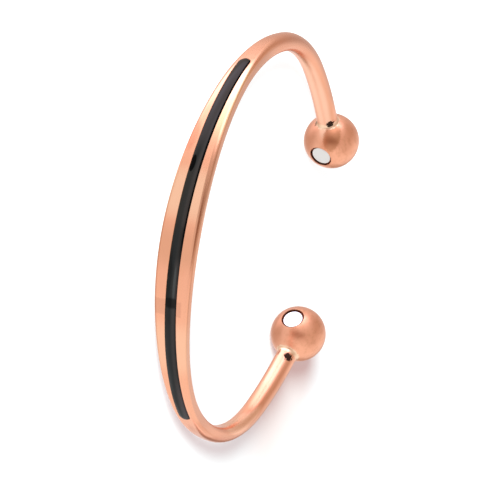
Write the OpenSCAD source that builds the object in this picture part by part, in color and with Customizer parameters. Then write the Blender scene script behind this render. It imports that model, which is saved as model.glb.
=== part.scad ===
// An open, C-shaped copper bangle with a ball on each end, a black strip let into its front
// and a disc magnet in each ball. It lies on its side as it would on a table: the wrist passes
// along Z, the wide front faces -Y and the opening between the balls is at +Y. The balls touch
// the table at Z = 0. The origin is below the middle of the bangle's box.

/* [Rod and balls] */
// Diameter of the round rod
rod_d = 3.7; // [3:0.1:4.2]
// Diameter of the balls
ball_d = 10; // [9:0.5:12]
// Radius of the solder fillet between rod and ball
fillet_r = 0.6; // [0.4:0.1:0.8]

/* [Forged front] */
// Width of the forged band at the middle of the front
band_w = 7.2; // [5:0.1:8]
// Thickness of the forged band at the middle of the front
band_t = 1.6; // [1.4:0.1:2.4]
// Distance along the bangle over which the band narrows to the rod's width
narrowing = 51; // [44:1:60]
// Distance along the bangle over which the band thickens to the rod's height
thickening = 74; // [60:1:76]

/* [Bends from the front to a ball] */
// Radius of the front's gentle bend
front_r = 42.5; // [41:0.5:44]
// Turn of the front's gentle bend, on each side of the middle
front_turn = 24.5; // [23:0.5:26]
// Radius of the shoulder after it
shoulder_r = 35; // [33:0.5:37]
// Turn of the shoulder
shoulder_turn = 18.5; // [17:0.5:20]
// Radius of the side's first bend
side_r = 25; // [24:0.5:27]
// Turn of the side's first bend
side_turn = 42; // [40:0.5:44]
// Radius of the side's second, tightest bend
heel_r = 20; // [19:0.5:22]
// Turn of the side's second bend
heel_turn = 42; // [40:0.5:43]
// Radius of the nearly straight arm
arm_r = 54; // [45:1:65]
// Turn of the nearly straight arm
arm_turn = 12; // [8:0.5:13]
// Straight length from the arm's bend to the ball's centre
arm_end = 7.2; // [6.5:0.1:8.5]

/* [Inlay] */
// Width of the black strip
inlay_w = 2; // [1.6:0.1:2.4]
// Distance along the bangle from the front's middle to the strip's round tip
inlay_reach = 35; // [28:0.5:38]
// Height of the strip's rounded crown above the copper
inlay_crown = 0.22; // [0.1:0.01:0.3]
// Depth of the groove that holds the strip
groove_depth = 0.6; // [0.5:0.05:0.7]

/* [Magnets] */
// Diameter of the disc magnets
magnet_d = 3.6; // [3:0.1:3.8]
// Thickness of the disc magnets
magnet_t = 2; // [1.5:0.1:2.5]
// Bevel round the magnets' edges
magnet_bevel = 0.15; // [0.1:0.05:0.3]
// Diameter of the bores that hold them
bore_d = 4.1; // [3.9:0.1:4.3]
// How far a magnet's face lies below the mouth of its bore
magnet_recess = 0.2; // [0.1:0.05:0.4]

/* [Hidden] */

COPPER = [0.93, 0.65, 0.52];
BLACK = [0.1, 0.1, 0.11];
NICKEL = [0.88, 0.88, 0.88];

rod_r = rod_d / 2;
ball_r = ball_d / 2;
bore_r = bore_d / 2;
glue_gap = 0.05;
groove_r = inlay_w / 2 + glue_gap;
groove_reach = inlay_reach + glue_gap;

// Each bend has a radius and a turn in degrees, in order from the front's middle to a ball.
RADIUS = 0;
TURN = 1;
bends = [
    [front_r, front_turn], [shoulder_r, shoulder_turn], [side_r, side_turn],
    [heel_r, heel_turn], [arm_r, arm_turn]
];

function sum(list, i = 0) = i == len(list) ? 0 : list[i] + sum(list, i + 1);
function bend_length(bend) = bend[RADIUS] * bend[TURN] * PI / 180;
function bend_start(i) = i == 0 ? 0 : bend_start(i - 1) + bend_length(bends[i - 1]);
function start_heading(i) = i == 0 ? 0 : start_heading(i - 1) + bends[i - 1][TURN];

bends_end = bend_start(len(bends));
end_heading = start_heading(len(bends));
half_length = bends_end + arm_end;

// The length of bend i that lies within distance s, and the turn that it makes.
function bend_part(s, i) = min(max(s - bend_start(i), 0), bend_length(bends[i]));
function part_turn(s, i) = bend_part(s, i) / bends[i][RADIUS] * 180 / PI;
function heading(s) = sum([for (i = [0 : len(bends) - 1]) part_turn(s, i)]);

// Where bend i and the straight end take the centre line, within distance s.
function bend_shift_x(s, i) =
    bends[i][RADIUS] * (sin(start_heading(i) + part_turn(s, i)) - sin(start_heading(i)));
function bend_shift_y(s, i) =
    bends[i][RADIUS] * (cos(start_heading(i)) - cos(start_heading(i) + part_turn(s, i)));
function end_part(s) = max(s - bends_end, 0);
function centre_x(s) =
    sum([for (i = [0 : len(bends) - 1]) bend_shift_x(s, i)]) + end_part(s) * cos(end_heading);
function centre_y(s) =
    sum([for (i = [0 : len(bends) - 1]) bend_shift_y(s, i)]) + end_part(s) * sin(end_heading);

// The box's middle along Y lies halfway between the strip's crown and the balls' backs.
ball_x = centre_x(half_length);
ball_y = centre_y(half_length);
front_shift = (band_t / 2 + inlay_crown - ball_y - ball_r) / 2;

// A point r outside the centre line and z above it, s along it; s is negative left of the front.
function on_bangle(s, r, z) =
    let (a = abs(s), h = heading(a), side = s < 0 ? -1 : 1)
    [side * (centre_x(a) + r * sin(h)), centre_y(a) - r * cos(h) + front_shift, z + ball_r];

// A smooth change from 1 at distance a to 0 at distance b.
function fade(s, a, b) = (1 + cos(180 * min(max((s - a) / (b - a), 0), 1))) / 2;

// The solder fillet is an arc that touches the rod and the ball.
fillet_mid = sqrt(pow(ball_r + fillet_r, 2) - pow(rod_r + fillet_r, 2));
fillet_foot = fillet_mid * ball_r / (ball_r + fillet_r);
function flare(s) =
    let (d = fillet_mid - max(half_length - s, fillet_foot))
    d <= 0 ? 0 : fillet_r - sqrt(fillet_r * fillet_r - d * d);

// Half width and half thickness of the band, and the power of its outer and inner faces'
// curve: 2 is round, and more is flatter with tighter corners.
ROUND = 2;
OUTER_FLAT = 3.4;
INNER_FLAT = 5;
OUTER_FLAT_END = 55;
INNER_FLAT_END = 40;
INNER_ROUND_FROM = 62;
function half_w(s) = rod_r + (band_w / 2 - rod_r) * fade(s, 0, narrowing) + flare(s);
function half_t(s) = rod_r - (rod_r - band_t / 2) * fade(s, 0, thickening) + flare(s);
function outer_power(s) = ROUND + (OUTER_FLAT - ROUND) * fade(s, 0, OUTER_FLAT_END);
function inner_power(s) =
    ROUND + (INNER_FLAT - ROUND) * fade(s, INNER_FLAT_END, INNER_ROUND_FROM);

// Half width of a groove or strip with round tips.
function slot_half(s, reach, r) =
    s <= reach - r ? r : sqrt(max(r * r - pow(s - reach + r, 2), 0));

// Distances along half the bangle at which its sections stand: even steps, closer in a tip's
// round end and in the solder fillet.
STEP = 2.2;
TIP_ANGLES = [0 : 18 : 72];
function steps(a, b) =
    let (n = ceil((b - a) / STEP))
    [for (i = [0 : n - 1]) a + (b - a) * i / n];
function tip(reach, r) = [for (a = TIP_ANGLES) reach - r + r * sin(a)];
function mirrored(list) = concat([for (i = [len(list) - 1 : -1 : 1]) -list[i]], list);

groove_half = concat(steps(0, groove_reach - groove_r), tip(groove_reach, groove_r));
// The fillet's last section lies a little inside the ball, and the rod ends further in.
fillet_start = half_length - fillet_mid;
FILLET_STEPS = 3;
fillet_at = [for (k = [0 : FILLET_STEPS - 1])
    fillet_start + (fillet_mid - fillet_foot) * k / FILLET_STEPS];
fillet_end = half_length - fillet_foot + 0.15;
rod_end = half_length - 0.6 * ball_r;
bangle_half = concat(
    groove_half, steps(groove_reach + STEP / 2, fillet_start), fillet_at, [fillet_end, rod_end]);
bangle_at = mirrored(bangle_half);

// A section of the bangle, once round: the outer face from its top edge to the groove's two
// edges and on to its bottom edge, and then the inner face back.
OUTER_STEPS = 5;
INNER_STEPS = 12;
function outer_point(w, t, n, a) = [t * pow(sin(a), 2 / n), w * pow(cos(a), 2 / n)];
last_groove_at = groove_half[len(groove_half) - 1];
function groove_edge(s) = slot_half(min(s, last_groove_at), groove_reach, groove_r);
function edge_angle(w, n, z) = acos(pow(z / w, n / 2));
function outer_half(s) =
    let (w = half_w(s), t = half_t(s), n = outer_power(s), e = edge_angle(w, n, groove_edge(s)))
    [for (k = [0 : OUTER_STEPS]) outer_point(w, t, n, e * k / OUTER_STEPS)];
function inner_half(s) =
    let (w = half_w(s), t = half_t(s), n = inner_power(s))
    [for (k = [1 : INNER_STEPS - 1])
        let (a = 180 * k / INNER_STEPS, c = cos(a))
        [-t * pow(sin(a), 2 / n), -sign(c) * w * pow(abs(c), 2 / n)]];
function flipped(list) = [for (i = [len(list) - 1 : -1 : 0]) [list[i][0], -list[i][1]]];
function section(s) = concat(outer_half(s), flipped(outer_half(s)), inner_half(s));
SIDES = 2 * (OUTER_STEPS + 1) + INNER_STEPS - 1;

// Corner numbers of one side between two neighbouring rings, or of a ring's whole end.
function between(i, k, sides) = let (j = (k + 1) % sides)
    [i * sides + k, (i + 1) * sides + k, (i + 1) * sides + j, i * sides + j];
function end_cap(i, sides) = [for (k = [0 : sides - 1]) i * sides + k];
function reversed(list) = [for (i = [len(list) - 1 : -1 : 0]) list[i]];

// The rod: rings of section points and a floor for the groove, all in one closed shell.
module forged_rod() {
    count = len(bangle_at);
    first = count / 2 - 0.5 - (len(groove_half) - 1);
    last = count - 1 - first;
    floor_start = count * SIDES;
    rings = [for (s = bangle_at) for (p = section(abs(s))) on_bangle(s, p[0], p[1])];
    floor_points = [for (i = [first : last]) let (s = abs(bangle_at[i])) for (side = [1, -1])
        on_bangle(bangle_at[i], half_t(s) - groove_depth, side * groove_edge(s))];
    function upper(i) = floor_start + 2 * (i - first);
    function lower(i) = upper(i) + 1;
    skin = [for (i = [0 : count - 2]) for (k = [0 : SIDES - 1])
        if (k != OUTER_STEPS || i < first || i >= last) between(i, k, SIDES)];
    groove = [for (i = [first : last - 1]) for (quad = [
        [i * SIDES + OUTER_STEPS, (i + 1) * SIDES + OUTER_STEPS, upper(i + 1), upper(i)],
        [upper(i), upper(i + 1), lower(i + 1), lower(i)],
        [lower(i), lower(i + 1), (i + 1) * SIDES + OUTER_STEPS + 1, i * SIDES + OUTER_STEPS + 1]
    ]) quad];
    tips = [
        [first * SIDES + OUTER_STEPS, upper(first), lower(first), first * SIDES + OUTER_STEPS + 1],
        [last * SIDES + OUTER_STEPS + 1, lower(last), upper(last), last * SIDES + OUTER_STEPS]
    ];
    ends = [end_cap(0, SIDES), reversed(end_cap(count - 1, SIDES))];
    polyhedron(concat(rings, floor_points), concat(skin, groove, tips, ends), convexity = 10);
}

// Puts its children at a ball's centre. side is -1 for the left ball and 1 for the right one.
module at_ball(side) {
    translate([side * ball_x, ball_y + front_shift, ball_r]) children();
}

// Turns its children so that Z points out of a ball's bore, towards the wrist.
module in_bore(side) {
    at_ball(side)
        rotate([0, -90, side > 0 ? end_heading - 90 : 270 - end_heading])
            children();
}

bore_mouth = sqrt(ball_r * ball_r - bore_r * bore_r);
magnet_face = bore_mouth - magnet_recess;

module bangle() {
    color(COPPER)
        difference() {
            union() {
                forged_rod();
                for (side = [-1, 1]) at_ball(side) sphere(d = ball_d, $fn = 96);
            }
            for (side = [-1, 1])
                in_bore(side)
                    translate([0, 0, magnet_face - magnet_t - glue_gap])
                        cylinder(d = bore_d, h = ball_d, $fn = 64);
        }
}

// The strip follows the groove. Its crown is lower where its tips narrow.
INLAY_STEPS = 8;
inlay_half = concat(steps(0, inlay_reach - inlay_w / 2), tip(inlay_reach, inlay_w / 2));
function crown(z, half) = inlay_crown * half / (inlay_w / 2) * (1 - pow(z / half, 2));
function inlay_section(s) =
    let (half = slot_half(s, inlay_reach, inlay_w / 2), top = half_t(s))
    concat(
        [for (k = [0 : INLAY_STEPS])
            let (z = half * (1 - 2 * k / INLAY_STEPS))
            [top + crown(z, half), z]],
        [for (z = [-half, half]) [top - groove_depth + glue_gap, z]]);

module inlay() {
    sides = INLAY_STEPS + 3;
    at = mirrored(inlay_half);
    color(BLACK)
        polyhedron(
            [for (s = at) for (p = inlay_section(abs(s))) on_bangle(s, p[0], p[1])],
            concat(
                [for (i = [0 : len(at) - 2]) for (k = [0 : sides - 1]) between(i, k, sides)],
                [end_cap(0, sides), reversed(end_cap(len(at) - 1, sides))]),
            convexity = 10);
}

module magnet(side) {
    r = magnet_d / 2;
    color(NICKEL)
        in_bore(side)
            translate([0, 0, magnet_face - magnet_t])
                rotate_extrude($fn = 64)
                    polygon([
                        [0, 0], [r - magnet_bevel, 0], [r, magnet_bevel],
                        [r, magnet_t - magnet_bevel], [r - magnet_bevel, magnet_t], [0, magnet_t]
                    ]);
}

module magnet_left() { magnet(-1); }
module magnet_right() { magnet(1); }

bangle();
inlay();
magnet_left();
magnet_right();
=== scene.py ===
# %% [markdown]
# # An open copper bangle with a black strip and magnet ends
#
# The real bangle starts as a round copper rod. Its front is forged flat and wide, a groove is cut
# along the outside of that front and filled with a black strip, the rod is bent to an oval, and a
# ball with a small disc magnet is soldered on each end. This lesson makes it in the same order:
# a straight bar is shaped first, while every ring of it is easy to reach, and it is bent last.
#
# The first cell loads the packed model. It is the fixed frame: the size and the place of all that
# follows come from it, and each new piece takes the place of one of its nodes.

# %% Load the frame
from math import asin, atan2, ceil, cos, degrees, pi, radians, sin, sqrt

import bmesh
import bpy
from mathutils import Matrix, Vector


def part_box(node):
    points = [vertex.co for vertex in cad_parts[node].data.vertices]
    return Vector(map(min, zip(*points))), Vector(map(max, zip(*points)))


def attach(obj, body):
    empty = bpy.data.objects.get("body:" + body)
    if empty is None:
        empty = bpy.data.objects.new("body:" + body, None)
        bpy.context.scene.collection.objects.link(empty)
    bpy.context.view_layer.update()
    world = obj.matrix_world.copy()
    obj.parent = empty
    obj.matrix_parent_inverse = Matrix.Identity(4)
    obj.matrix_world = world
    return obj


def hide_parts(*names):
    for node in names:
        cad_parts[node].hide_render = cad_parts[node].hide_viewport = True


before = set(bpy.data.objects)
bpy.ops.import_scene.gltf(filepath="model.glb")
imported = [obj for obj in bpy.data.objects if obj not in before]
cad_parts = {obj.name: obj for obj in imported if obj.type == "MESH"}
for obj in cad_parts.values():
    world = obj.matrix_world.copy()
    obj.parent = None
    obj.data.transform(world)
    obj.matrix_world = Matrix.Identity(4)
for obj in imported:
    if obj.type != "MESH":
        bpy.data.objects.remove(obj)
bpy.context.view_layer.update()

print("nodes", sorted(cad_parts))

# %% [markdown]
# ## Sizes
#
# Blender works in metres, so the sizes of the smith's drawing are written in millimetres times MM.
# What the frame can tell is read from it: the balls are as tall as the whole bangle's box, and the
# front stands where the box starts. Each bend is a radius and a turn, from the middle of the front
# to a ball.

# %% Sizes
MM = 0.001

low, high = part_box("bangle")
ball_radius = (high.z - low.z) / 2
rod_radius = 1.85 * MM
front_width = 7.1 * MM
front_thickness = 1.6 * MM
narrowing = 45 * MM
thickening = 79 * MM

bends = [
    (42.5 * MM, radians(24.5)),
    (35 * MM, radians(18.5)),
    (25 * MM, radians(42)),
    (20 * MM, radians(42)),
    (54 * MM, radians(12)),
]
arm_end = 7.2 * MM
end_heading = sum(turn for radius, turn in bends)
half_length = sum(radius * turn for radius, turn in bends) + arm_end
front_y = low.y + front_thickness / 2

print("half the bar is", round(half_length / MM, 2), "mm long")
print("the ends turn by", round(degrees(end_heading), 1), "degrees")

# %% [markdown]
# ## Helpers for edit mode
#
# Operators act on what is selected, so each step first picks its vertices or faces by their place.
# `edit` opens one piece, `choose` selects vertices from a list, and `move` squeezes and shifts what
# is selected about a point. The distances in this model are small, so every operator that merges
# or cuts is given CLOSE as its tolerance.

# %% Helpers for selecting and moving
CLOSE = 0.001 * MM


def only(piece):
    """Select one object and make it the active one."""
    bpy.ops.object.select_all(action="DESELECT")
    piece.select_set(True)
    bpy.context.view_layer.objects.active = piece


def edit(piece, select="VERT"):
    """Open a piece in edit mode with nothing selected, and return its mesh."""
    only(piece)
    bpy.ops.object.mode_set(mode="EDIT")
    bpy.ops.mesh.select_mode(type=select)
    bpy.ops.mesh.select_all(action="DESELECT")
    return bmesh.from_edit_mesh(piece.data)


def done():
    """Leave edit mode."""
    bpy.ops.object.mode_set(mode="OBJECT")


def choose(mesh, parts):
    """Select these vertices, edges or faces and nothing else."""
    bpy.ops.mesh.select_all(action="DESELECT")
    for part in parts:
        part.select = True
    mesh.select_flush_mode()


def move(scale=(1, 1, 1), about=(0, 0, 0), shift=(0, 0, 0)):
    """Scale what is selected about a point, and then shift it."""
    bpy.ops.transform.resize(value=scale, center_override=about)
    bpy.ops.transform.translate(value=shift)


print("vertices within", CLOSE / MM, "mm of each other count as one")

# %% [markdown]
# ## Helpers for whole pieces
#
# A modifier is added by its operator, set by its property names and applied at once, so that the
# next step works on the mesh that it made. Tools such as drills are removed after they are used.

# %% Helpers for modifiers and tools
def apply_modifier(piece, kind, **settings):
    """Add a modifier, set it and apply it."""
    only(piece)
    bpy.ops.object.modifier_add(type=kind)
    modifier = piece.modifiers[-1]
    for name, value in settings.items():
        setattr(modifier, name, value)
    bpy.ops.object.modifier_apply(modifier=modifier.name)


def remove(*pieces):
    """Delete objects that are no longer needed."""
    for piece in pieces:
        bpy.data.objects.remove(piece)


# %% [markdown]
# ## The middle line
#
# All pieces are bent along one line, the middle of the rod. One vertex at the front is spun through
# each bend in turn, first to one side and then to the other, which gives true arcs that run into
# each other. Past a ball's centre the line goes on straight, so that the whole ball keeps its shape.
# The chain of edges is then turned into a curve for the Curve modifier.

# %% The middle line
LINE_STEP = 0.25 * MM
overrun = 7 * MM
line_end = half_length + overrun

bpy.ops.object.select_all(action="DESELECT")
bpy.ops.mesh.primitive_plane_add(size=MM, location=(0, 0, 0))
line = bpy.context.object
line.name = "middle_line"
mesh = edit(line)
bpy.ops.mesh.select_all(action="SELECT")
bpy.ops.mesh.merge(type="CENTER")
move(shift=(0, front_y, ball_radius))

for side in (1, -1):
    start = min(mesh.verts, key=lambda v: (v.co - Vector((0, front_y, ball_radius))).length)
    choose(mesh, [start])
    place, heading = start.co.copy(), 0
    for radius, turn in bends:
        centre = place + radius * Vector((-side * sin(heading), cos(heading), 0))
        bpy.ops.mesh.spin(steps=ceil(radius * turn / LINE_STEP), angle=-side * turn,
                          center=centre, axis=(0, 0, 1))
        heading += turn
        place = centre + radius * Vector((side * sin(heading), -cos(heading), 0))
        place_found = next(v.co for v in mesh.verts if v.select)
        print("bend of", round(radius / MM, 1), "mm ends", (place_found - place).length < CLOSE)
    reach = arm_end + overrun
    straight = reach * Vector((side * cos(heading), sin(heading), 0))
    bpy.ops.mesh.extrude_vertices_move(TRANSFORM_OT_translate={"value": straight})
    tip = next(v for v in mesh.verts if v.select)
    choose(mesh, [tip, tip.link_edges[0].other_vert(tip)])
    bpy.ops.mesh.subdivide(number_cuts=ceil(reach / LINE_STEP))
done()
bpy.ops.object.convert(target="CURVE")
points = line.data.splines[0].points
if points[0].co.x > 0:
    bpy.ops.object.mode_set(mode="EDIT")
    bpy.ops.curve.select_all(action="SELECT")
    bpy.ops.curve.switch_direction()
    bpy.ops.object.mode_set(mode="OBJECT")
print("the line has", len(points), "points and starts at x", round(points[0].co.x / MM, 2))

# %% [markdown]
# ## The straight bar
#
# Both halves of the bangle and both sides of its band are the same, so only a quarter is shaped and
# then mirrored. It starts as a round rod along X: a cylinder with open ends, cut in two along its
# length. Its long edges are subdivided all at once, which gives a ring every millimetre, and a few
# more rings are cut where the groove's round tip will be.

# %% A quarter of the bar
COLUMNS = 64
RING_STEP = 1 * MM

fillet_radius = 0.6 * MM
fillet_middle = sqrt((ball_radius + fillet_radius) ** 2 - (rod_radius + fillet_radius) ** 2)
rod_length = half_length - fillet_middle

rim = 0.07 * MM
groove_radius = 1.05 * MM + rim
groove_reach = 35.05 * MM + rim
tip_centre = groove_reach - groove_radius
tip_angles = [radians(a) for a in (0, 15, 30, 44, 57, 69, 80)]

bpy.ops.object.select_all(action="DESELECT")
bpy.ops.mesh.primitive_cylinder_add(
    vertices=COLUMNS, radius=rod_radius, depth=rod_length, end_fill_type="NOTHING",
    location=(rod_length / 2, 0, 0), rotation=(0, pi / 2, 0))
bangle = bpy.context.object
bangle.name = "copper_bangle"
bpy.ops.object.transform_apply(location=True, rotation=True)

mesh = edit(bangle)
bpy.ops.mesh.select_all(action="SELECT")
bpy.ops.mesh.bisect(plane_co=(0, 0, 0), plane_no=(0, 0, 1), clear_inner=True, threshold=CLOSE)
bpy.ops.mesh.select_mode(type="EDGE")
choose(mesh, [e for e in mesh.edges if abs(e.verts[0].co.x - e.verts[1].co.x) > CLOSE])
bpy.ops.mesh.subdivide(number_cuts=round(rod_length / RING_STEP) - 1)
bpy.ops.mesh.select_mode(type="VERT")
for angle in tip_angles:
    bpy.ops.mesh.select_all(action="SELECT")
    bpy.ops.mesh.bisect(plane_co=(tip_centre + groove_radius * sin(angle), 0, 0),
                        plane_no=(1, 0, 0), threshold=CLOSE)

rings = {}
for vertex in mesh.verts:
    rings.setdefault(round(vertex.co.x / CLOSE), []).append(vertex)
print(len(rings), "rings of", len(rings[0]), "vertices")

# %% [markdown]
# ## Forging the front
#
# A hammered rod gets wider and flatter, and its faces meet in tighter corners. A cosine fades each
# size from the middle of the front back to the round rod, and one function gives each size at any
# distance along the bar. The flat of the outer face must stay wider than the groove as far as the
# groove's tip, and so its corners only turn round past that tip.

# %% The band's sizes along the bar
front_corner = 0.6 * MM
tip_corner = 0.88 * MM
inner_corner = 0.5 * MM
outer_crispness = 0.45
inner_crispness = 0.38
front_corner_end = 14 * MM
flat_end = 35 * MM
outer_round_from = 47 * MM
inner_round_from = 57 * MM
crisp_end = 25 * MM
crisp_gone = 50 * MM


def fade(s, start, end):
    """Fall softly from 1 at start to 0 at end."""
    return (1 + cos(pi * min(max((s - start) / (end - start), 0), 1))) / 2


def half_width(s):
    """Half the band's width at this distance along it."""
    return rod_radius + (front_width / 2 - rod_radius) * fade(s, 0, narrowing)


def half_thickness(s):
    """Half the band's thickness at this distance along it."""
    return rod_radius - (rod_radius - front_thickness / 2) * fade(s, 0, thickening)


def outer_corners(s):
    """How far the outer corners reach across the bar and into its thickness."""
    front = (tip_corner - front_corner) * fade(s, 0, front_corner_end)
    across = rod_radius - front - (rod_radius - tip_corner) * fade(s, flat_end, outer_round_from)
    crispness = outer_crispness * fade(s, crisp_end, crisp_gone)
    return across, half_thickness(s) * (1 - crispness)


def inner_corners(s):
    """The same for the inner corners."""
    across = rod_radius - (rod_radius - inner_corner) * fade(s, flat_end, inner_round_from)
    crispness = inner_crispness * fade(s, flat_end, inner_round_from)
    return across, half_thickness(s) * (1 - crispness)


for place in (0, 20, 40, 60):
    print("at", place, "mm: width", round(2 * half_width(place * MM) / MM, 2),
          "thickness", round(2 * half_thickness(place * MM) / MM, 2))

# %% [markdown]
# ## Hammering ring by ring
#
# Each ring is forged in the same way: the outer and the inner half of its circle are squeezed to
# the size of their corners, and the corners are then moved apart until the section has its width
# and thickness. Scaling keeps the circle's even steps, so the corners stay smooth arcs.

# %% Forge every ring
for ring in rings.values():
    s = ring[0].co.x
    for face, (across, into) in ((-1, outer_corners(s)), (1, inner_corners(s))):
        part = [v for v in ring if face * v.co.y > CLOSE]
        choose(mesh, part)
        move((1, into / rod_radius, across / rod_radius), (s, 0, 0),
             (0, face * (half_thickness(s) - into), 0))
        choose(mesh, [v for v in part if v.co.z > CLOSE])
        move(shift=(0, 0, half_width(s) - across))
    choose(mesh, [v for v in ring if abs(v.co.y) <= CLOSE])
    move((1, 1, half_width(s) / rod_radius), (s, 0, 0))
print("forged, the bar is", round(2 * max(v.co.z for v in mesh.verts) / MM, 2), "mm wide")

# %% [markdown]
# ## The ball and its solder fillet
#
# On the real bangle the ball is soldered to the rod, and the solder leaves a small hollow fillet.
# A separate sphere would have to be blended into the rod, so the rod's last ring is extruded
# instead: along the fillet's arc, and then over the ball from one circle of latitude to the next,
# down to its far pole. Every quad runs on from the rod into the ball without a seam.

# %% Extrude the ball
FILLET_STEPS = 6
BALL_STEPS = 34

fillet_turn = atan2(fillet_middle, rod_radius + fillet_radius)
joint_angle = asin((rod_radius + fillet_radius) / (ball_radius + fillet_radius))
profile = []
for i in range(1, FILLET_STEPS + 1):
    a = fillet_turn * i / FILLET_STEPS
    profile.append((rod_length + fillet_radius * sin(a),
                    rod_radius + fillet_radius * (1 - cos(a))))
for i in range(1, BALL_STEPS + 1):
    a = joint_angle + (pi - joint_angle) * i / BALL_STEPS
    profile.append((half_length - ball_radius * cos(a), ball_radius * sin(a)))

choose(mesh, rings[max(rings)])
place, radius = rod_length, rod_radius
for next_place, next_radius in profile:
    bpy.ops.mesh.extrude_region_move()
    scale = next_radius / radius
    move((1, scale, scale), (place, 0, 0), (next_place - place, 0, 0))
    place, radius = next_place, next_radius
bpy.ops.mesh.select_all(action="SELECT")
bpy.ops.mesh.remove_doubles(threshold=CLOSE)
bpy.ops.mesh.normals_make_consistent(inside=False)
done()
print("the ball ends", round((place - half_length) / MM, 2), "mm past its centre")

apply_modifier(bangle, "MIRROR", use_axis=(True, False, True), use_mirror_merge=True,
               merge_threshold=CLOSE)
print("the whole bar has", len(bangle.data.polygons), "faces")

# %% [markdown]
# ## The left shoulder
#
# Handwork is never quite even: past the strip's left tip the rod was hammered a little less, and its
# outer side stands out more than at the right end. The mirrored bar is already whole, so only the
# outer half of each ring there is stretched, by a soft hump along the bar.

# %% Leave the left shoulder thicker
hump_height = 0.28 * MM
hump_start = 35.5 * MM
hump_top = 44 * MM
hump_falls = 46 * MM
hump_end = 62 * MM

mesh = edit(bangle)
left_rings = {}
for vertex in mesh.verts:
    if -hump_end < vertex.co.x < -groove_reach and vertex.co.y < -CLOSE:
        left_rings.setdefault(round(vertex.co.x / CLOSE), []).append(vertex)
for ring in left_rings.values():
    s = -ring[0].co.x
    hump = hump_height * (1 - fade(s, hump_start, hump_top)) * fade(s, hump_falls, hump_end)
    choose(mesh, ring)
    move((1, 1 + hump / half_thickness(s), 1), (-s, 0, 0))
done()
print("the left shoulder has", len(left_rings), "thicker rings")

# %% [markdown]
# ## The groove
#
# A milling cutter leaves a groove with round ends and an even depth. The flat outer face is cut along
# both sides of the groove, and the rings near its ends are narrowed to a half circle. A small inset
# gives the groove's rim, which is sunk a little to break its sharp edge, and the faces inside it are
# pressed in to the groove's depth.

# %% Find the groove's faces
groove_depth = 0.6 * MM
FACING = 0.995


def groove_half(s):
    """Half the width of the groove at this distance along the bar."""
    past = max(abs(s) - tip_centre, 0)
    return sqrt(max(groove_radius ** 2 - past ** 2, 0))


def outer_faces(mesh, end):
    """The faces of the flat outer side up to this far along."""
    return [f for f in mesh.faces if f.normal.y < -FACING
            and abs(f.calc_center_median().x) < end]


def in_groove(face):
    """Whether a face of the flat outer side lies inside the groove's outline."""
    centre = face.calc_center_median()
    return abs(centre.z) < groove_half(centre.x)


mesh = edit(bangle, "FACE")
last_ring = tip_centre + groove_radius * sin(tip_angles[-1])
print("the groove is cut out of", len(outer_faces(mesh, last_ring)), "faces")

# %% [markdown]
# ## Milling it
#
# The cuts along the groove's sides are straight, so only the vertices on them are moved to make the
# round ends. Inset and extrude then work on all faces inside the outline at once.

# %% Cut the groove
for side in (1, -1):
    choose(mesh, outer_faces(mesh, last_ring))
    bpy.ops.mesh.bisect(plane_co=(0, 0, side * groove_radius), plane_no=(0, 0, 1),
                        threshold=CLOSE)
bpy.ops.mesh.select_mode(type="VERT")
edge_rings = {}
for vertex in mesh.verts:
    if vertex.co.y < 0 and abs(abs(vertex.co.z) - groove_radius) < CLOSE:
        edge_rings.setdefault(round(vertex.co.x / CLOSE), []).append(vertex)
for ring in edge_rings.values():
    s = ring[0].co.x
    if tip_centre < abs(s):
        choose(mesh, ring)
        move((1, 1, groove_half(s) / groove_radius), (s, 0, 0))
bpy.ops.mesh.select_mode(type="FACE")
choose(mesh, [f for f in outer_faces(mesh, last_ring) if in_groove(f)])
bpy.ops.mesh.inset(thickness=rim, depth=0)
move(shift=(0, rim, 0))
bpy.ops.mesh.extrude_region_move(
    TRANSFORM_OT_translate={"value": (0, groove_depth - rim, 0)})
print("the groove's floor has", len([f for f in mesh.faces if f.select]), "faces")
done()

# %% [markdown]
# ## The bores
#
# Each ball has a blind bore that faces the wrist. A drill with a short flared collar, which breaks
# the bore's sharp mouth, is made once from a cylinder, and a copy stands at the other ball. A
# Boolean modifier takes both away from the bar.

# %% Drill the balls
bore_radius = 2.05 * MM
mouth_bevel = 0.09 * MM
collar = 2 * MM
ROUND = 96
magnet_recess = 0.2 * MM
magnet_thickness = 2 * MM
glue_gap = 0.05 * MM
bore_mouth = sqrt(ball_radius ** 2 - bore_radius ** 2)
magnet_face = bore_mouth - magnet_recess
bore_floor = magnet_face - magnet_thickness - glue_gap
drill_length = bore_mouth - mouth_bevel - bore_floor

bpy.ops.object.select_all(action="DESELECT")
bpy.ops.mesh.primitive_cylinder_add(
    vertices=ROUND, radius=bore_radius, depth=drill_length, rotation=(-pi / 2, 0, 0),
    location=(half_length, bore_floor + drill_length / 2, 0))
drill = bpy.context.object
bpy.ops.object.transform_apply(location=True, rotation=True)
mesh = edit(drill, "FACE")
choose(mesh, [f for f in mesh.faces if f.normal.y > FACING])
flare = (bore_radius + collar) / bore_radius
bpy.ops.mesh.extrude_region_move(TRANSFORM_OT_translate={"value": (0, collar, 0)})
move((flare, 1, flare), (half_length, 0, 0))
bpy.ops.mesh.select_all(action="SELECT")
bpy.ops.mesh.normals_make_consistent(inside=False)
done()
other_drill = drill.copy()
other_drill.data = drill.data.copy()
bpy.context.collection.objects.link(other_drill)
other_drill.location.x = -2 * half_length
for cutter in (drill, other_drill):
    apply_modifier(bangle, "BOOLEAN", object=cutter, operation="DIFFERENCE", solver="EXACT")
remove(drill, other_drill)
print("the drilled bar has", len(bangle.data.vertices), "vertices")

# %% [markdown]
# ## Bend the bar
#
# The straight bar's coordinates are kept in an attribute named `bar`, because brushing and stains
# follow the bar and not the room: its first number runs along the bangle, its second from the
# outside to the inside and its third across. Then the Curve modifier lays the bar along the middle
# line. The bar's middle is moved half the line's length on, since the line starts at one end.

# %% Bend
SHARP = radians(28)
LARGE_FACES = 90


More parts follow.
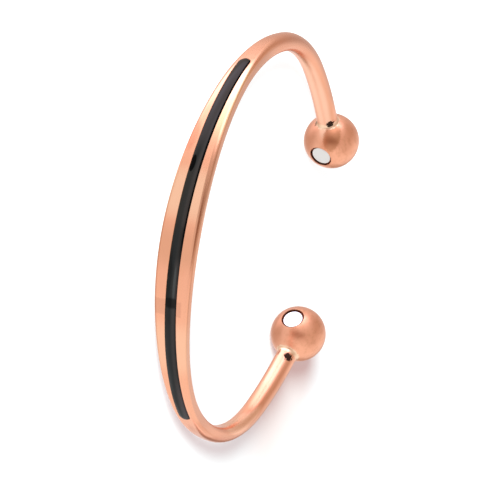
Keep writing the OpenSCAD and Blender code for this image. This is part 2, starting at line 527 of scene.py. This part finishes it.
def keep_bar_places(piece):
    """Store each vertex's place on the straight bar."""
    kept = piece.data.attributes.new("bar", "FLOAT_VECTOR", "POINT")
    for vertex in piece.data.vertices:
        kept.data[vertex.index].vector = vertex.co


def bend(piece):
    """Bend a piece of the straight bar along the middle line, and smooth its shading."""
    keep_bar_places(piece)
    piece.location.x = line_end
    apply_modifier(piece, "CURVE", object=line, deform_axis="POS_X")
    bpy.ops.object.transform_apply(location=True)
    bpy.ops.object.shade_smooth_by_angle(angle=SHARP)
    apply_modifier(piece, "WEIGHTED_NORMAL", keep_sharp=True, weight=LARGE_FACES)


bend(bangle)
corners = [bangle.matrix_world @ Vector(corner) for corner in bangle.bound_box]
print("bent, it is", round((max(c.x for c in corners) - min(c.x for c in corners)) / MM, 2),
      "mm wide and", round((max(c.y for c in corners) - min(c.y for c in corners)) / MM, 2), "deep")

# %% [markdown]
# ## The black strip
#
# The strip fills the groove, and its crown stands a little above the copper. Its top is a slice off
# a wide round rod: a cylinder is cut along its length, and the thin slice is kept. It gets a ring
# every millimetre, like the bar, so that it can follow the bar's bends.

# %% A slice for the crown
strip_half = 1 * MM
strip_reach = 35 * MM
strip_crown = 0.22 * MM
strip_depth = groove_depth - glue_gap
crown_radius = (strip_half ** 2 + strip_crown ** 2) / (2 * strip_crown)
strip_tip = strip_reach - strip_half
crown_base = crown_radius - strip_crown
CROWN_COLUMNS = 160

bpy.ops.object.select_all(action="DESELECT")
bpy.ops.mesh.primitive_cylinder_add(
    vertices=CROWN_COLUMNS, radius=crown_radius, depth=2 * strip_tip, end_fill_type="NOTHING",
    rotation=(0, pi / 2, 0))
strip = bpy.context.object
strip.name = "black_strip"
bpy.ops.object.transform_apply(rotation=True)
mesh = edit(strip)
bpy.ops.mesh.select_all(action="SELECT")
bpy.ops.mesh.bisect(plane_co=(0, -crown_base, 0), plane_no=(0, -1, 0), clear_inner=True,
                    threshold=CLOSE)
bpy.ops.mesh.select_mode(type="EDGE")
choose(mesh, [e for e in mesh.edges if abs(e.verts[0].co.x - e.verts[1].co.x) > CLOSE])
bpy.ops.mesh.subdivide(number_cuts=round(2 * strip_tip / RING_STEP) - 1)
print("the crown is a slice of a rod", round(crown_radius / MM, 2), "mm in radius")

# %% [markdown]
# ## Its tips, sides and bottom
#
# At the tips the slice's ring is extruded on and shrunk, as the groove narrows, which rounds the
# ends and lets the crown run out. The whole slice is then extruded down and pressed flat to make
# the sides and the bottom, and each ring is shifted to the height of the copper that it lies in,
# which grows towards the tips.

# %% Finish the strip
for side in (1, -1):
    place, scale = side * strip_tip, 1
    choose(mesh, [e for e in mesh.edges
                  if all(abs(v.co.x - side * strip_tip) < CLOSE for v in e.verts)])
    for angle in tip_angles[1:]:
        bpy.ops.mesh.extrude_region_move()
        next_place = side * (strip_tip + strip_half * sin(angle))
        next_scale = cos(angle) / scale
        move((1, next_scale, next_scale), (place, -crown_base, 0), (next_place - place, 0, 0))
        place, scale = next_place, cos(angle)
bpy.ops.mesh.select_all(action="SELECT")
bpy.ops.mesh.extrude_region_move()
move((1, 0, 1), (0, -crown_base, 0), (0, strip_depth, 0))
bpy.ops.mesh.select_all(action="SELECT")
bpy.ops.mesh.normals_make_consistent(inside=False)
bpy.ops.mesh.select_mode(type="VERT")
strip_rings = {}
for vertex in mesh.verts:
    strip_rings.setdefault(round(vertex.co.x / CLOSE), []).append(vertex)
for ring in strip_rings.values():
    choose(mesh, ring)
    move(shift=(0, crown_base - half_thickness(abs(ring[0].co.x)), 0))
done()
bend(strip)
print("the strip has", len(strip_rings), "rings")

# %% [markdown]
# ## The magnets
#
# Each magnet is a small nickel-plated disc, glued into its bore with its face a little below the
# mouth. The disc starts as a cylinder, its two round edges are bevelled, and its face is inset and
# dished by a hair, as pressed discs are. It sits a touch off the bore's middle, like the real one,
# and so the dark gap beside it is wider on one side.

# %% The magnets
magnet_radius = 1.8 * MM
magnet_edge = 0.15 * MM
face_rim = 0.3 * MM
face_dish = 0.01 * MM
MAGNET_SHIFTS = {"left": (0.05 * MM, 0.06 * MM), "right": (-0.07 * MM, 0.02 * MM)}

magnets = {}
for name, side in (("left", -1), ("right", 1)):
    along, across = MAGNET_SHIFTS[name]
    middle = Vector((side * half_length + along, magnet_face - magnet_thickness / 2, across))
    bpy.ops.object.select_all(action="DESELECT")
    bpy.ops.mesh.primitive_cylinder_add(vertices=ROUND, radius=magnet_radius,
                                        depth=magnet_thickness, location=middle,
                                        rotation=(-pi / 2, 0, 0))
    magnet = bpy.context.object
    magnet.name = "magnet_disc_" + name
    bpy.ops.object.transform_apply(location=True, rotation=True)
    mesh = edit(magnet, "EDGE")
    choose(mesh, [e for e in mesh.edges if abs(e.verts[0].co.y - e.verts[1].co.y) < CLOSE])
    bpy.ops.mesh.bevel(offset=magnet_edge, segments=4)
    bpy.ops.mesh.select_mode(type="FACE")
    choose(mesh, [f for f in mesh.faces if f.normal.y > FACING])
    bpy.ops.mesh.inset(thickness=face_rim, depth=0)
    move(shift=(0, -face_dish, 0))
    done()
    bend(magnet)
    magnets[name] = magnet
    print(magnet.name, len(magnet.data.polygons), "faces")
remove(line)

# %% [markdown]
# ## The camera
#
# The photo looks at the front from 26 degrees above the plane in which the bangle lies, from far
# away, and it is turned so that the bangle seems to stand. The camera looks along that direction
# and is turned about its own line of sight. The point it looks at and its focal length place the
# bangle in the frame.

# %% The camera
camera_height = radians(26)
camera_side = radians(-5.46)
camera_turn = radians(-9.67)
camera_distance = 0.7
SENSOR = 36
IMAGE_SIZE = 480
focal_pixels = 4097.3
focal_length = focal_pixels / IMAGE_SIZE * SENSOR
aim_inward = 9.32 * MM
aim_right = 5.99 * MM

back = Vector((sin(camera_side), -cos(camera_side) * cos(camera_height),
               cos(camera_side) * sin(camera_height)))
across = Vector((0, sin(camera_height), cos(camera_height)))
across = (across - across.dot(back) * back).normalized()
upward = back.cross(across)
image_right = cos(camera_turn) * across - sin(camera_turn) * upward
image_up = sin(camera_turn) * across + cos(camera_turn) * upward
aim = Vector((0, front_y + aim_inward, ball_radius)) + aim_right * image_right

bpy.ops.object.camera_add(location=aim + camera_distance * back)
camera = bpy.context.object
facing = Matrix((image_right, image_up, back)).transposed()
camera.rotation_euler = facing.to_euler()
camera.data.sensor_width = SENSOR
camera.data.lens = focal_length
camera.data.clip_start = 0.05
camera.data.clip_end = 20
bpy.context.scene.camera = camera
print("focal length", round(focal_length, 1), "mm, camera at",
      [round(x, 3) for x in camera.location])

# %% [markdown]
# ## Shader maths
#
# A material is a graph of nodes, and a long chain of Math nodes is hard to read. `Wire` holds one
# output of a node, and its Python operators add the Math nodes, so that a formula on wires reads as
# a formula. Every other node is added by one method, which takes the node's type, its settings and
# what goes into its sockets. Colours are never added up with Math nodes, which would turn them
# grey: `mix` blends them with a Mix node.

# %% A small class for shader maths
class Wire:
    """One output socket of a node. Arithmetic on it adds Math nodes to its tree."""

    def __init__(self, tree, socket=None):
        self.tree = tree
        self.socket = socket

    def node(self, kind, settings=(), inputs=(), output=0):
        """Add a node of this type, with its settings first and then its sockets' values or wires."""
        node = self.tree.nodes.new("ShaderNode" + kind)
        for name, value in dict(settings).items():
            setattr(node, name, value)
        for name, value in dict(inputs).items():
            if isinstance(value, Wire):
                self.tree.links.new(value.socket, node.inputs[name])
            else:
                node.inputs[name].default_value = value
        return Wire(self.tree, node.outputs[output]) if node.outputs else None

    def math(self, operation, *values):
        return self.node("Math", {"operation": operation}, enumerate(values))

    def __add__(self, other):
        return self.math("ADD", self, other)

    def __sub__(self, other):
        return self.math("SUBTRACT", self, other)

    def __rsub__(self, other):
        return self.math("SUBTRACT", other, self)

    def __mul__(self, other):
        return self.math("MULTIPLY", self, other)

    def __truediv__(self, other):
        return self.math("DIVIDE", self, other)

    def __rtruediv__(self, other):
        return self.math("DIVIDE", other, self)

    def __pow__(self, other):
        return self.math("POWER", self, other)

    def __rpow__(self, other):
        return self.math("POWER", other, self)

    def __abs__(self):
        return self.math("ABSOLUTE", self)

    __radd__ = __add__
    __rmul__ = __mul__

    def rise(self, start, end):
        """A smooth step from 0 at start to 1 at end."""
        return self.node("MapRange", {"interpolation_type": "SMOOTHSTEP"},
                         {"Value": self, "From Min": start, "From Max": end})

    def either(self, other):
        """The larger of two masks."""
        return self.math("MAXIMUM", self, other)

    def mix(self, below, above):
        """A colour that goes from one colour to another as this value goes from 0 to 1."""
        return self.node("Mix", {"data_type": "RGBA"}, {0: self, 6: below, 7: above}, 2)

    def parts(self):
        """The three numbers of a vector."""
        split = self.node("SeparateXYZ", (), {0: self})
        return [Wire(self.tree, output) for output in split.socket.node.outputs]


def colour(red, green, blue):
    """A colour as the sockets want it, with its alpha."""
    return (red, green, blue, 1)


def new_tree(owner):
    """Empty the node tree of a material or world, and return a wire that adds nodes to it."""
    owner.use_nodes = True
    owner.node_tree.nodes.clear()
    return Wire(owner.node_tree)


print("the wires know", len([name for name in vars(Wire) if name.startswith("__r")]),
      "reflected operators")

# %% [markdown]
# ## The studio
#
# Satin metal shows little colour of its own: what it shows is the room. The photo's room is a white
# tent with tall bright lamp boxes at the bangle's left end, and a dark gap in front, where the
# photographer stands. The dark gap gives the brown line along the band's edge and the brown patch
# in the middle of each ball, and the lamp boxes give the cream shine. The room could be built from
# glowing planes, but then each would also light the table. Here it is a world shader: the direction
# that a ray takes is turned into an azimuth and a height, and each lamp or shade is a soft patch in
# these two, laid over the one before.

# %% The room
world = bpy.data.worlds.new("studio")
bpy.context.scene.world = world
tree = new_tree(world)
east, north, zenith = tree.node("TexCoord", output="Generated").parts()
azimuth = tree.math("ARCTAN2", east, 0 - north)
height = tree.math("ARCSINE", zenith)


def patch(side, up, half_width, half_height, soft):
    """1 inside a patch of the room and 0 outside. All in degrees."""
    turned = tree.math("WRAP", azimuth - radians(side), pi, -pi)
    sideways = abs(turned).rise(radians(half_width + soft), radians(half_width))
    upright = abs(height - radians(up)).rise(radians(half_height + soft), radians(half_height))
    return sideways * upright


ceiling = (0, 90, 180, 30, 30)
table_top = (0, -90, 180, 28, 25)
far_wall = (180, 5, 40, 30, 25)
right_wall = (110, 0, 60, 40, 30)
white_card = (-85, -75, 35, 20, 15)
far_shelf = (145, -8, 25, 6, 8)
upper_flap = (-125, 45, 15, 15, 30)
photographer = (-3, 24, 8, 18, 18)
lamp_glow = (-72, -26, 12, 8, 28)
tall_lamp = (-82, -12, 6, 30, 18)
side_lamp = (-55, 8, 8, 10, 12)

light = colour(1, 1, 1)
for place, shade in (
        (ceiling, (0.78, 0.73, 0.68)),
        (table_top, (0.75, 0.68, 0.61)),
        (far_wall, (0.74, 0.7, 0.67)),
        (right_wall, (1.1, 1.13, 1.13)),
        (white_card, (1.25, 1.2, 1.2)),
        (far_shelf, (0.5, 0.4, 0.33)),
        (upper_flap, (0.6, 0.5, 0.42)),
        (photographer, (0.34, 0.2, 0.13)),
        (lamp_glow, (1.9, 1.9, 2)),
        (tall_lamp, (3.1, 3.05, 3.8)),
        (side_lamp, (2.4, 2.4, 2.7))):
    light = patch(*place).mix(light, colour(*shade))
tree.node("OutputWorld", (), {"Surface": tree.node("Background", (), {"Color": light})})
print("the room is a world of", len(world.node_tree.nodes), "nodes")

# %% [markdown]
# ## The table
#
# The bangle lies on a white table, which should be as bright as the paper, with only a soft shadow
# left on it. So the table glows a little by itself, and this glow is painted light: the glow and the
# lamp together give pure white, and the glow alone is what a shadow shows. The glow is stronger
# towards the left end, where no shadow shows, and weaker and warmer beside the right arm, a painted
# warm shadow that stands for the copper throwing its own light into it. The copper mirrors the
# white tent also from below, and so mirror rays don't see the table.

# %% The table
TABLE_SIZE = 4

bpy.ops.object.select_all(action="DESELECT")
bpy.ops.mesh.primitive_plane_add(size=TABLE_SIZE, location=(0, 0, 0))
floor = bpy.context.object
floor.name = "floor"
floor.visible_glossy = False
floor.visible_shadow = False

table_white = bpy.data.materials.new("table_white")
tree = new_tree(table_white)
side_place, depth_place, _ = tree.node("TexCoord", output="Object").parts()
# painted light: the glow is stronger towards the left end, and weaker and warmer beside the right arm
painted_warm_shadow = depth_place.rise(18 * MM, 32 * MM) * depth_place.rise(50 * MM, 40 * MM)
shade = painted_warm_shadow.mix(colour(0.37, 0.22, 0.24), colour(0.28, 0.01, 0))
glow = side_place.rise(0, 22 * MM).mix(colour(0.66, 0.59, 0.6), shade)
surface = tree.node("BsdfPrincipled", (), {
    "Base Color": colour(0.39, 0.5, 0.5), "Roughness": 0.8, "Specular IOR Level": 0,
    "Emission Color": glow, "Emission Strength": 1})
tree.node("OutputMaterial", (), {"Surface": surface})
floor.data.materials.append(table_white)
print("the table is", floor.dimensions.x, "m wide")

# %% [markdown]
# ## The lamp that casts the shadow
#
# The photo's shadows are short, soft and fall to the right of the arms. A sun lamp gives one
# direction everywhere, and the angle it spans makes the shadow's edge soft. It stands low in front
# of the bangle, a little to the left. The world already gives the metal its shine, so mirror rays
# don't see this lamp.

# %% The lamp
lamp_height = radians(21.8)
lamp_side = radians(-23.5)
lamp_distance = 0.3
lamp_back = Vector((sin(lamp_side) * cos(lamp_height), -cos(lamp_side) * cos(lamp_height),
                    sin(lamp_height)))

bpy.ops.object.light_add(type="SUN", location=lamp_distance * lamp_back)
lamp = bpy.context.object
lamp.name = "shadow_lamp"
lamp.rotation_euler = lamp_back.to_track_quat("Z", "Y").to_euler()
lamp.data.energy = 11
lamp.data.angle = radians(18)
lamp.visible_glossy = False
bpy.context.scene.view_settings.view_transform = "Standard"
print("the lamp stands", round(degrees(lamp_height), 1), "degrees high")

# %% [markdown]
# ## Places on the bar
#
# Brushing, wear and stains follow the bar, not the room, and so every material here reads the
# attribute `bar` that was stored before bending. `bar_places` gives it as three numbers in
# millimetres. `streaks` is noise that is drawn out along the bar, for brush marks and clouds, and
# `spot` is an oval mask about a place, whose edge a noise can tear.

# %% Patterns on the bar
def bar_places(tree):
    """The place on the straight bar in millimetres: along it, inward and across."""
    kept = tree.node("Attribute", {"attribute_name": "bar"}, output="Vector")
    return [part / MM for part in kept.parts()]


def streaks(tree, places, density, stretch, detail=3):
    """Noise from 0 to 1 that is drawn out along the bar."""
    along, inward, across = places
    drawn_out = tree.node("CombineXYZ", (), {0: along / stretch, 1: inward, 2: across})
    return tree.node("TexNoise", {"noise_dimensions": "3D"}, {
        "Vector": drawn_out, "Scale": density, "Detail": detail, "Roughness": 0.6})


def spot(places, centre, radii, ragged=0, soft=0.5):
    """1 inside an oval spot and 0 outside, with an edge that noise can tear."""
    total = ragged
    for place, middle, radius in zip(places, centre, radii):
        total = total + ((place - middle) / radius) ** 2
    return total.rise(1 + soft, 1)


print("the balls' middles are at", round(half_length / MM, 1), "mm on either side")

# %% [markdown]
# ## Satin copper
#
# Copper is a warm pink metal, and its colour is set as the base colour of a metallic shader. Hands
# and air leave thin clouds of tarnish on it, darker on the balls, which were not polished after
# they were soldered on. The side of each ball that faces the table gets a painted shade. Each layer
# of tarnish, wear or painted light is a mask that blends the tone so far towards another copper,
# so the layers can be read and tuned one by one.

# %% The copper's tone and clouds
copper = bpy.data.materials.new("satin_copper")
tree = new_tree(copper)
places = bar_places(tree)
along, inward, across = places
from_ball = half_length / MM - abs(along)
on_ball = from_ball.rise(5.4, 4.7)
left_half = along.rise(10, -10)

cloud = streaks(tree, places, 0.5, 3)
blotch = streaks(tree, places, 1.3, 1.5)
brush = streaks(tree, places, 9, 30)
grain = streaks(tree, places, 7, 1)
tear = streaks(tree, places, 3.5, 1, detail=5)

tone = colour(0.9, 0.42, 0.265)
tone = (cloud.rise(0.45, 0.75) * 0.35).mix(tone, colour(0.82, 0.35, 0.2))
tone = (blotch.rise(0.45, 0.7) * on_ball * 0.3).mix(tone, colour(0.6, 0.24, 0.12))
# painted shade: each ball is darker towards its side that faces the table
tone = (on_ball * across.rise(2, -1) * 0.45).mix(tone, colour(0.74, 0.37, 0.25))
print("the clouds of tarnish took", len(copper.node_tree.nodes), "nodes")

# %% [markdown]
# ## Painted highlights and tones on the band
#
# The band's faces are split into zones. Three pale, bright zones are painted highlights: one on the
# upper part of the front left of the middle, and two across the band on either side of the middle.
# The middle of the front gets a painted tan, a darker reflection of the room, and the two bends are
# browner. Nothing ends sharply here, so each zone is a spot along the bar with a small radius and a
# wide soft edge.

# %% Zones of the band
# painted highlights: three pale, bright cream zones on the band
painted_highlight_copper = colour(0.95, 0.57, 0.38)
painted_highlight_upper = spot([along], [-26], [3], 0, 9) * across.rise(0.5, 1.3) * inward.rise(-0.3, -0.8)
tone = (painted_highlight_upper * 0.9).mix(tone, colour(0.95, 0.565, 0.34))
tone = (spot([along], [-8], [1.5], 0, 12) * 0.8).mix(tone, painted_highlight_copper)
tone = (spot([along], [19], [1.5], 0, 14) * 0.5).mix(tone, painted_highlight_copper)

# painted reflection: a darker tan across the middle of the front
painted_tan_reflection = along.rise(-4, 0) * along.rise(6, 2.5)
tone = (painted_tan_reflection * 0.6).mix(tone, colour(0.72, 0.34, 0.2))
# the two bends are browner
browner_bends = spot([along], [-50], [5], 0, 3) * 0.6 + spot([along], [42], [4], 0, 3) * 0.5
tone = browner_bends.mix(tone, colour(0.8, 0.34, 0.21))
print("the copper's tone has", len(copper.node_tree.nodes), "nodes with its zones")

# %% [markdown]
# ## Dull sides
#
# A polishing wheel hardly reaches the narrow sides of the band and the arms, so they stay dull. The
# lower side near the balls is darker as well: a painted shade. A side is found by two masks
# together, one across the bar and one from its outer face inwards.

# %% Sides of the band and the arms
dull_copper = colour(0.6, 0.28, 0.18)
band_side = across.rise(1.2, 2) * inward.rise(-0.75, -0.3) * abs(along).rise(46, 36)
side_dullness = 0.3 + abs(along).rise(2, 9) * 0.35 + along.rise(-15, -21) * 0.3
tone = (band_side * side_dullness).mix(tone, dull_copper)
arm_side = across.rise(0.6, 1.5) * inward.rise(0.8, -0.2) * spot([along], [0], [70], 0, 0.1)
tone = (arm_side * abs(along).rise(42, 50) * 0.55).mix(tone, dull_copper)
# painted shade: the lower side near the balls, where it faces the table
painted_shade_lower_side = across.rise(-0.4, -1.4) * inward.rise(-0.4, 0.4) * abs(along).rise(54, 62)
tone = (painted_shade_lower_side * 0.35).mix(tone, colour(0.65, 0.27, 0.17))
print("the copper's tone has", len(copper.node_tree.nodes), "nodes with its sides")

# %% [markdown]
# ## A worn patch, a blotch and a painted reflection line
#
# A worn patch crosses the band, and a blotch lies on its lower face. A brown line just inside its
# upper edge is a painted reflection of the dark gap in front of the bangle. That edge is curved,
# because the band gets narrower, so the distance to it is worked out with the same cosine that
# shaped it.

# %% Patches and the burnished line
worn_patch = spot([along], [11.6], [1.1], (tear - 0.5) * 1.2, 1)
worn_patch = worn_patch * inward.rise(0, -0.4) * across.rise(2.2, 1.8)
tone = (worn_patch * 0.4).mix(tone, colour(0.6, 0.27, 0.17))
lower_blotch = spot([along, across], [-18, -2.5], [1.8, 0.7], (tear - 0.5) * 1.2, 3)
tone = (lower_blotch * inward.rise(0, -0.4) * 0.8).mix(tone, colour(0.8, 0.31, 0.19))

fading = (1 + tree.math("COSINE", tree.math("MINIMUM", abs(along) * MM / narrowing, 1) * pi)) / 2
band_edge = rod_radius / MM + (front_width / 2 - rod_radius) / MM * fading - across
# painted reflection: a brown line just inside the band's upper edge
painted_edge_reflection = spot([band_edge], [0.36], [0.33], (tear - 0.5) * 0.9, 1.5) * inward.rise(0.2, -0.1)
painted_edge_reflection = painted_edge_reflection * along.rise(5, -8) * along.rise(-19, -14)
tone = (painted_edge_reflection * 0.85).mix(tone, colour(0.55, 0.25, 0.15))
print("the copper's tone has", len(copper.node_tree.nodes), "nodes with its patches")

# %% [markdown]
# ## Painted light on the arms and the right bend
#
# The left arm gets a painted highlight, a pale streak next to its ball, and the right one has a
# warm streak. The right bend gets a painted highlight on its inside and a painted shade, brown, along
# the middle of its outer side. Where the flat front turns into it the copper is darker, but for a
# painted highlight, a bright line along the upper corner.

# %% Streaks of the arms and the bend
# painted highlight: a pale streak on the left arm next to its ball
painted_highlight_streak = spot([from_ball, inward, across], [11, 1.8, 0.5], [9, 1.2, 0.7], 0, 3) * left_half
tone = (painted_highlight_streak * 0.6).mix(tone, colour(0.98, 0.62, 0.45))
warm_streak = spot(places, [63, 1.7, 0.4], [3, 1, 0.7], 0, 3)
tone = (warm_streak * 0.5).mix(tone, colour(0.8, 0.3, 0.16))
# painted highlight: brighter copper on the inside of the right bend
painted_highlight_bend = spot(places, [54, 1.3, 1.1], [3.6, 1.1, 1.1], 0, 2).either(
    spot(places, [58, 0.95, 1.5], [3, 0.5, 0.4], 0, 2))
tone = painted_highlight_bend.mix(tone, colour(1, 0.55, 0.37))
shoulder_flat = spot([along, across], [42, 0.2], [3.5, 0.8], 0, 2) * inward.rise(0, -0.8) * 0.75
shoulder_side = spot([along, inward], [41, -0.8], [3.5, 0.35], 0, 2) * across.rise(1.5, 1.9) * 0.4
tone = shoulder_flat.either(shoulder_side).mix(tone, colour(0.66, 0.25, 0.13))
# painted highlight: a bright line along the upper corner of the right shoulder
painted_highlight_line = spot(places, [40, -1.3, 1.55], [4.5, 0.25, 0.3], 0, 1.5)
tone = painted_highlight_line.mix(tone, colour(1, 0.43, 0.28))
# painted shade: brown along the middle of the right bend's outer side
painted_shade_bend = spot([along, across - (along - 40) * 0.15], [48, 0.2], [5, 0.8], 0, 2)
tone = (painted_shade_bend * inward.rise(0, -0.8) * 0.6).mix(tone, colour(0.63, 0.2, 0.1))
print("the copper's tone has", len(copper.node_tree.nodes), "nodes with its streaks")

# %% [markdown]
# ## Marks and painted light at the joints
#
# Where a ball is soldered on, a thin pale line runs round the joint: partly the solder's own colour
# and partly a painted highlight. Beside it lies a near-black spot, there are smaller marks, and a
# brown patch on the left ball is a painted reflection of the dark gap. The places are measured on
# the bar, and noise tears the edges, so that they aren't neat ovals.

# %% Stains
# painted reflection: a brown patch on the left ball, where it mirrors the dark gap
painted_ball_reflection = spot(places, [-77.3, 2.96, 2], [2, 2.2, 1.15], (tear - 0.5) * 1.5, 1)
tone = (painted_ball_reflection * 0.8).mix(tone, colour(0.55, 0.22, 0.11))
# partly solder, partly a painted highlight: a thin cream line round each joint
solder_and_highlight_line = spot([from_ball], [4.9], [0.3], (tear - 0.5) * 6, 1.5)
tone = (solder_and_highlight_line * 0.6).mix(tone, colour(1, 0.8, 0.58))

ragged = (tear - 0.5) * 5
# near-black spots beside the joints
near_black_spots = spot(places, [-75.6, 1.3, 1.26], [0.55, 0.8, 0.65], ragged, 0.3).either(
    spot(places, [74.7, 1.37, 1.24], [0.7, 0.8, 0.75], ragged, 0.3))
tone = (near_black_spots * 0.95).mix(tone, colour(0.02, 0.012, 0.01))
marks = spot(places, [-76.4, 1, -1.75], [0.35, 0.6, 0.3], ragged).either(
    spot(places, [75.1, 1.72, -0.68], [0.6, 0.5, 0.2], ragged))
tone = (marks * 0.7).mix(tone, colour(0.2, 0.09, 0.05))
print("the copper's tone has", len(copper.node_tree.nodes), "nodes in all")

# %% [markdown]
# ## The copper's surface
#
# The last polish was a fine brush along the bar. Its lines change the roughness and the height a
# little: the noise is stretched thirty times along the bar, so it reads as brushing. The balls are
# not brushed but lightly grained, and the near-black spots at the joints are rough. The bump is kept
# very small, since satin metal is smooth to the eye.

# %% Roughness and relief
rougher = abs(along).rise(45, 65) * 0.06 + on_ball * 0.04 + near_black_spots * 0.4
finish = 0.25 + (brush - 0.5) * 0.1 + (cloud - 0.5) * 0.08 + rougher
relief = brush * 0.6 * (1 - on_ball) + grain * 0.5 * on_ball
bump = tree.node("Bump", (), {"Height": relief, "Strength": 0.06, "Distance": 0.2 * MM})
surface = tree.node("BsdfPrincipled", (), {
    "Base Color": tone, "Metallic": 1, "Roughness": finish, "Normal": bump})
tree.node("OutputMaterial", (), {"Surface": surface})
bangle.data.materials.append(copper)
print(copper.name, "has", len(copper.node_tree.nodes), "nodes")

# %% [markdown]
# ## The black strip's finish
#
# The strip reads as black enamel: glossy, with a grey sheen from the tent on its crown. Its left
# half, its upper side and its right end get a painted sheen, a shade lighter, and a short painted
# glint lies near the middle. These are differences of a few thousandths in the base colour, because
# on black the gloss does most of the work.

# %% The strip's colour
enamel = bpy.data.materials.new("black_enamel")
tree = new_tree(enamel)
places = bar_places(tree)
along, _, across = places
wave = streaks(tree, places, 0.35, 2)
dust = streaks(tree, places, 2.5, 2)

tone = wave.rise(0.35, 0.7).mix(colour(0.001, 0.001, 0.001), colour(0.0025, 0.003, 0.003))
# painted sheen: the strip's left half is a shade lighter
painted_sheen_left_end = along.rise(-21, -29).mix(colour(0.0085, 0.0065, 0.0065), colour(0.006, 0.003, 0.001))
tone = along.rise(-14, -19).mix(tone, painted_sheen_left_end)
tone = (along.rise(-14, -11) * along.rise(0, -5)).mix(tone, colour(0.0045, 0.004, 0.0035))
# painted sheen: the strip's upper side is a shade lighter
painted_sheen_side = across.rise(-0.1, 0.6) * along.rise(-20, -14)
painted_sheen_side = painted_sheen_side * (1 - spot([along], [0.5], [1.5], 0, 5) * 0.6)
tone = painted_sheen_side.mix(tone, colour(0.0095, 0.008, 0.0075))
# painted sheen: the strip's right end is a shade lighter
painted_sheen_right_end = along.rise(23, 32) * across.rise(-0.1, 0.8)
tone = painted_sheen_right_end.mix(tone, colour(0.023, 0.017, 0.018))
# painted highlight: a short glint near the middle of the strip
glint = spot([along, across], [7.2, 0.5], [2.4, 0.18], 0, 1)
tone = (glint * 0.6).mix(tone, colour(0.016, 0.018, 0.018))
print("the strip's tone has", len(enamel.node_tree.nodes), "nodes")

# %% [markdown]
# ## Where it is matt: wear and a painted shade
#
# A thin line along the strip's upper edge is dead black: a painted shade, where the groove's gap
# shades it. A small chip left of its middle is dead black too. A worn band and two rubbed patches
# have lost part of their gloss. Two shaders do this better than one: a glossy and a matt black are
# blended by a mask with a Mix Shader, and the mask's edges wave a little with the same noise as the
# strip's slow waviness.

# %% Gloss and matt
bump = tree.node("Bump", (), {"Height": wave, "Strength": 0.15, "Distance": 0.2 * MM})
gloss = tree.node("BsdfPrincipled", (), {
    "Base Color": tone, "Roughness": 0.16 + dust * 0.1, "IOR": 1.3, "Normal": bump})
matt = tree.node("BsdfPrincipled", (), {
    "Base Color": colour(0.0006, 0.0006, 0.0006), "Roughness": 0.7, "IOR": 1.1})
# painted shade: a dead black line along the strip's upper edge
painted_edge_shade = (across + (wave - 0.5) * 0.2).rise(0.72, 0.86) * (0.3 + along.rise(4, -2) * 0.7)
chip = spot([along, across], [-13.2, -0.55], [1.3, 0.5], (wave - 0.5) * 1.2, 0.4)
worn_band = spot([along], [10.6], [0.6], (wave - 0.5) * 2, 2.5) * 0.65
rubbed = spot([along, across], [6.5, -0.7], [3, 0.4], 0, 2).either(
    spot([along, across], [33, -0.7], [4, 0.5], 0, 2)) * 0.35
# the matt mask: the painted shade line together with the chip and the worn places
dull = painted_edge_shade.either(chip).either(worn_band).either(rubbed)
surface = tree.node("MixShader", (), {0: dull, 1: gloss, 2: matt})
tree.node("OutputMaterial", (), {"Surface": surface})
strip.data.materials.append(enamel)
print(enamel.name, "has", len(enamel.node_tree.nodes), "nodes")

# %% [markdown]
# ## The magnets' plating
#
# Disc magnets are plated with nickel, a neutral white metal. The plating is satin with a faint
# haze. The left magnet gets a painted shade, a little greyer than the right one, so both share one
# material that turns greyer along the bar.

# %% The plating
nickel = bpy.data.materials.new("satin_nickel")
tree = new_tree(nickel)
places = bar_places(tree)
along = places[0]
haze = streaks(tree, places, 1.2, 1)
tone = haze.rise(0.3, 0.7).mix(colour(0.86, 0.86, 0.86), colour(0.78, 0.78, 0.77))
# painted shade: the left magnet is a little greyer
tone = along.rise(1, -1).mix(tone, colour(0.72, 0.69, 0.67))
surface = tree.node("BsdfPrincipled", (), {
    "Base Color": tone, "Metallic": 1, "Roughness": 0.3 + haze * 0.1})
tree.node("OutputMaterial", (), {"Surface": surface})
for magnet in magnets.values():
    magnet.data.materials.append(nickel)
print(nickel.name, "has", len(nickel.node_tree.nodes), "nodes")

# %% [markdown]
# ## Join the pieces to the frame
#
# The bangle has no joint, so every piece rides on the one body, `root`. Each takes the place of its
# node, which is hidden.

# %% Ride and finish
for piece, node, slot in ((bangle, "bangle", "copper"), (strip, "inlay", "black_strip"),
                          (magnets["left"], "magnet_left", "magnet_plating"),
                          (magnets["right"], "magnet_right", "magnet_plating")):
    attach(piece, "root")
    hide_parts(node)
    print(piece.name, "takes the place of", node)
